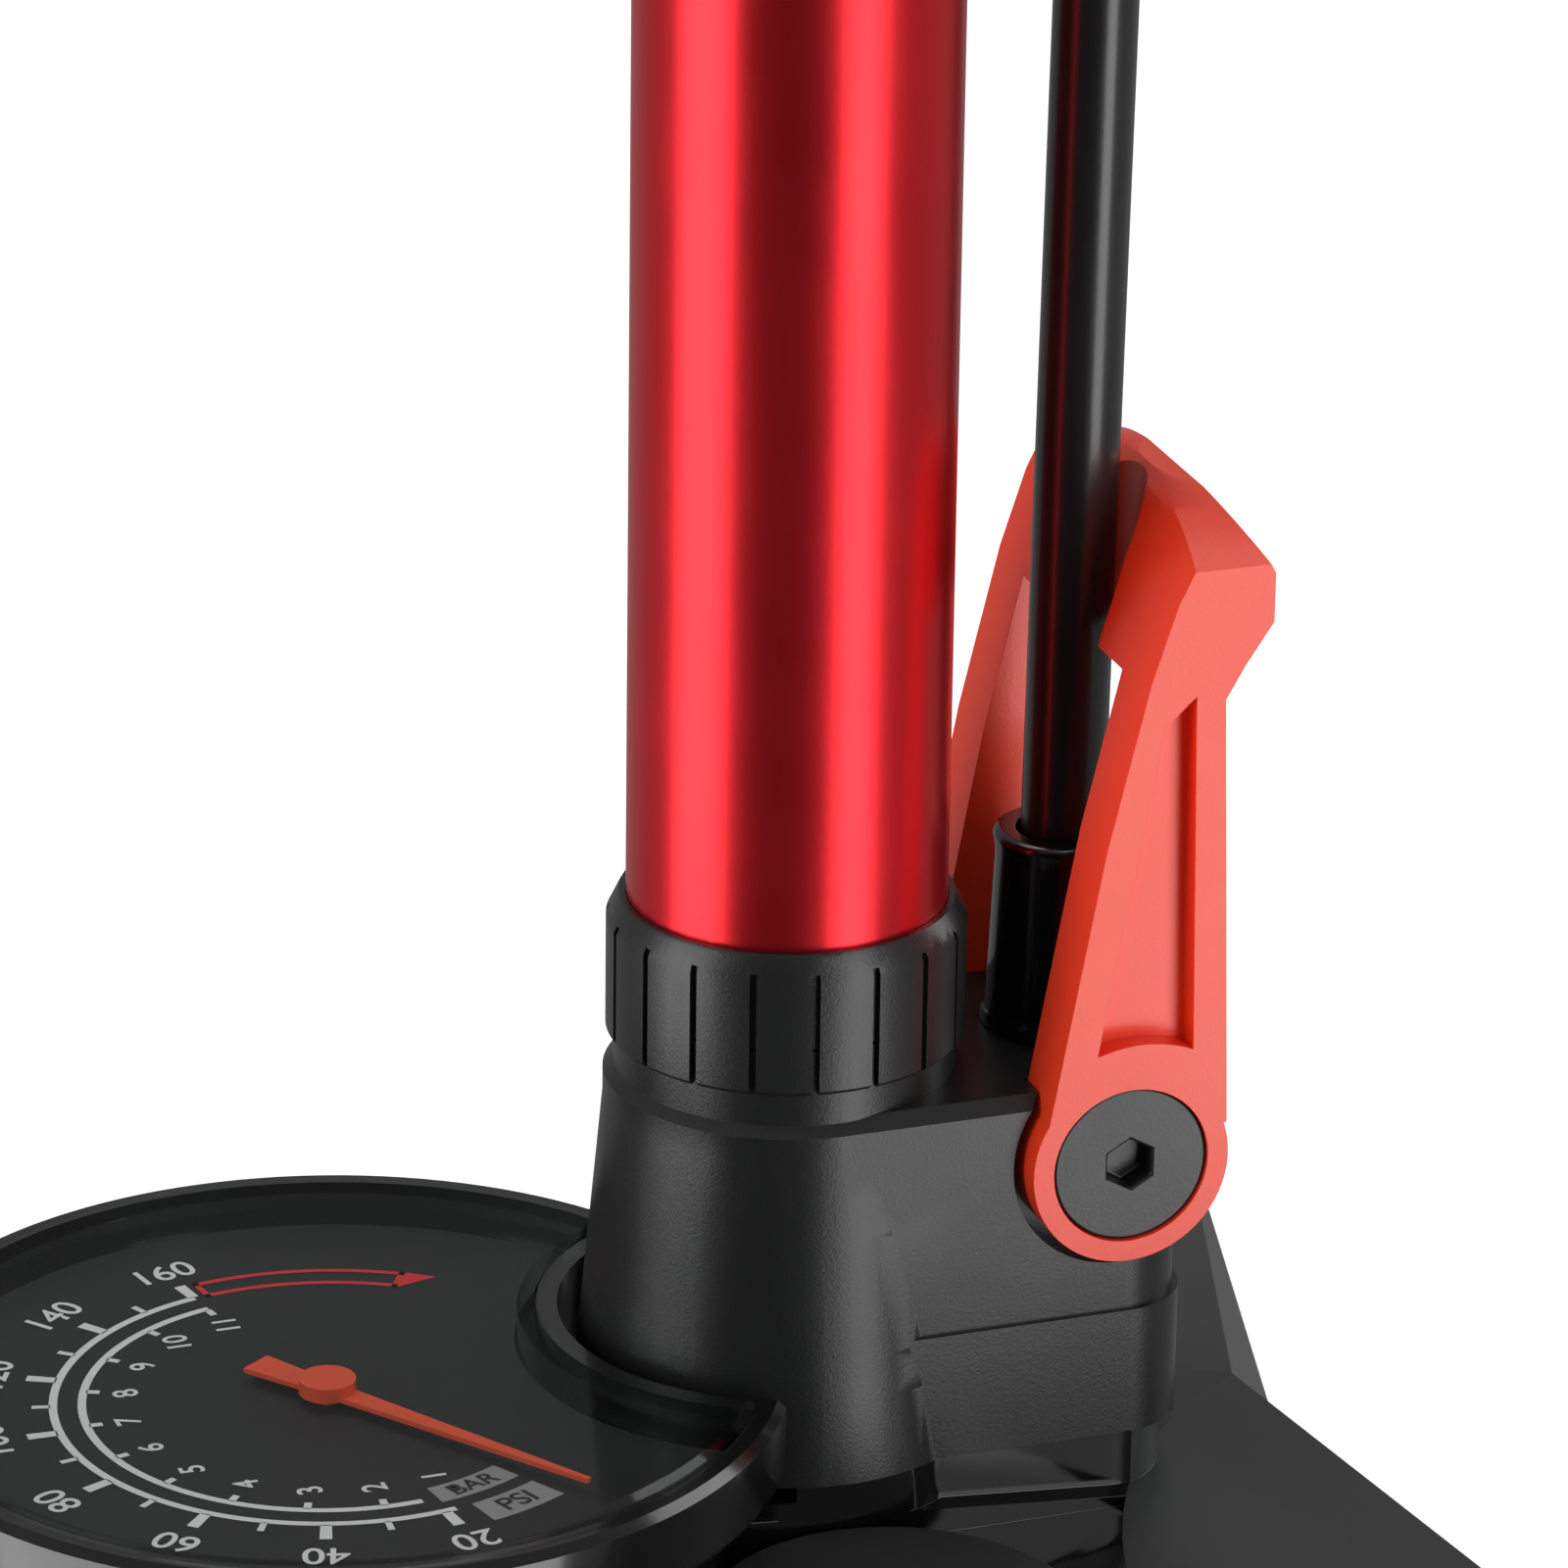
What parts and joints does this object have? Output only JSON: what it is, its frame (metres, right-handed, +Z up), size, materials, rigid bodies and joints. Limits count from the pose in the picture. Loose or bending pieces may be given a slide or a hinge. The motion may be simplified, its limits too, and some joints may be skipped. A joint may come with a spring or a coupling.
{
  "type": "bicycle floor pump",
  "caption": "Tall bicycle floor pump with a round base gauge, a side hose and a folding two-position selector lever.",
  "frame": {"origin": "centre of the middle rubber foot's underside, on the floor under the barrel's axis", "axes": "+Z up along the barrel; -X towards the gauge; +X towards the selector lever and hose, where the user stands; +Y to the side of the docked pump head"},
  "size_m": [0.2055, 0.2306, 0.6485],
  "materials": {
    "gloss_black": "gloss",
    "satin_black": "satin",
    "charcoal": "satin, fine grain",
    "red_anodised": "satin anodised",
    "orange_red": "semi-gloss",
    "black_rubber": "matte",
    "hose_rubber": "semi-gloss",
    "steel": "brushed",
    "chrome_rod": "polished",
    "brass": "satin",
    "lens": "clear",
    "dial_print": "matte with pale print",
    "needle_orange": "matte",
    "bare_aluminium": "drawn"
  },
  "bodies": {
    "pump": {"barrel": "red_anodised", "barrel_gasket": "black_rubber", "base": "gloss_black", "base_screw_1": "steel", "base_screw_2": "steel", "base_screw_3": "steel", "bourdon_tube": "brass", "check_spring": "steel", "chuck_knob": "satin_black", "chuck_seal": "black_rubber", "collar_nut": "charcoal", "foot_centre": "black_rubber", "foot_front": "black_rubber", "foot_left": "black_rubber", "foot_right": "black_rubber", "gauge_case": "gloss_black", "gauge_dial": "dial_print", "gauge_lens": "lens", "gauge_socket": "brass", "gauge_stem": "brass", "head_dock": "gloss_black", "hose": "hose_rubber", "hose_ferrule": "gloss_black", "hose_guide": "gloss_black", "movement_plate": "brass", "pump_head": "gloss_black", "pump_tube": "bare_aluminium", "rod_bush": "bare_aluminium", "step_pad_left": "black_rubber", "step_pad_right": "black_rubber", "top_cap": "gloss_black", "valve_block": "charcoal"},
    "plunger": {"piston_rod": "chrome_rod", "piston": "bare_aluminium", "piston_seal": "black_rubber", "bumper": "black_rubber", "handle_hub": "satin_black", "handle_bar": "bare_aluminium", "grip_left": "satin_black", "grip_right": "satin_black"},
    "selector": {"selector_lever": "orange_red", "selector_spindle": "steel", "spindle_seal_left": "black_rubber", "spindle_seal_right": "black_rubber", "cap_screw_left": "charcoal", "cap_screw_right": "charcoal"},
    "sector": {"gauge_sector": "brass"},
    "needle": {"gauge_needle": "needle_orange"},
    "poppet": {"check_poppet": "brass"},
    "latch": {"head_latch": "orange_red"}
  },
  "joints": [
    {"name": "plunger_slide", "type": "slide", "parent": "pump", "child": "plunger", "axis": [0, 0, 1], "range_m": [0, 0.45]},
    {"name": "selector_hinge", "type": "hinge", "parent": "pump", "child": "selector", "pos_m": [0.0347, 0, 0.07], "axis": [0, 1, 0], "range_deg": [0, 90]},
    {"name": "sector_hinge", "type": "hinge", "parent": "pump", "child": "sector", "pos_m": [-0.06975, 0, 0.032], "axis": [0, 0, 1], "range_deg": [0, 45.5]},
    {"name": "needle_hinge", "type": "hinge", "parent": "pump", "child": "needle", "pos_m": [-0.05675, 0, 0.043], "axis": [0, 0, 1], "range_deg": [-250.25, 0]},
    {"name": "poppet_lift", "type": "slide", "parent": "pump", "child": "poppet", "axis": [0, 0, -1], "range_m": [0, 0.0015], "stiffness_N_per_m": 150, "springref_m": -0.002, "deforming": ["check_spring"]},
    {"name": "latch_hinge", "type": "hinge", "parent": "pump", "child": "latch", "pos_m": [-0.0145, 0.04, 0.296], "axis": [0, -1, 0], "range_deg": [0, 90]}
  ],
  "couplings": [
    {"joint": "needle_hinge", "follows": "sector_hinge", "ratio": -5.5}
  ]
}
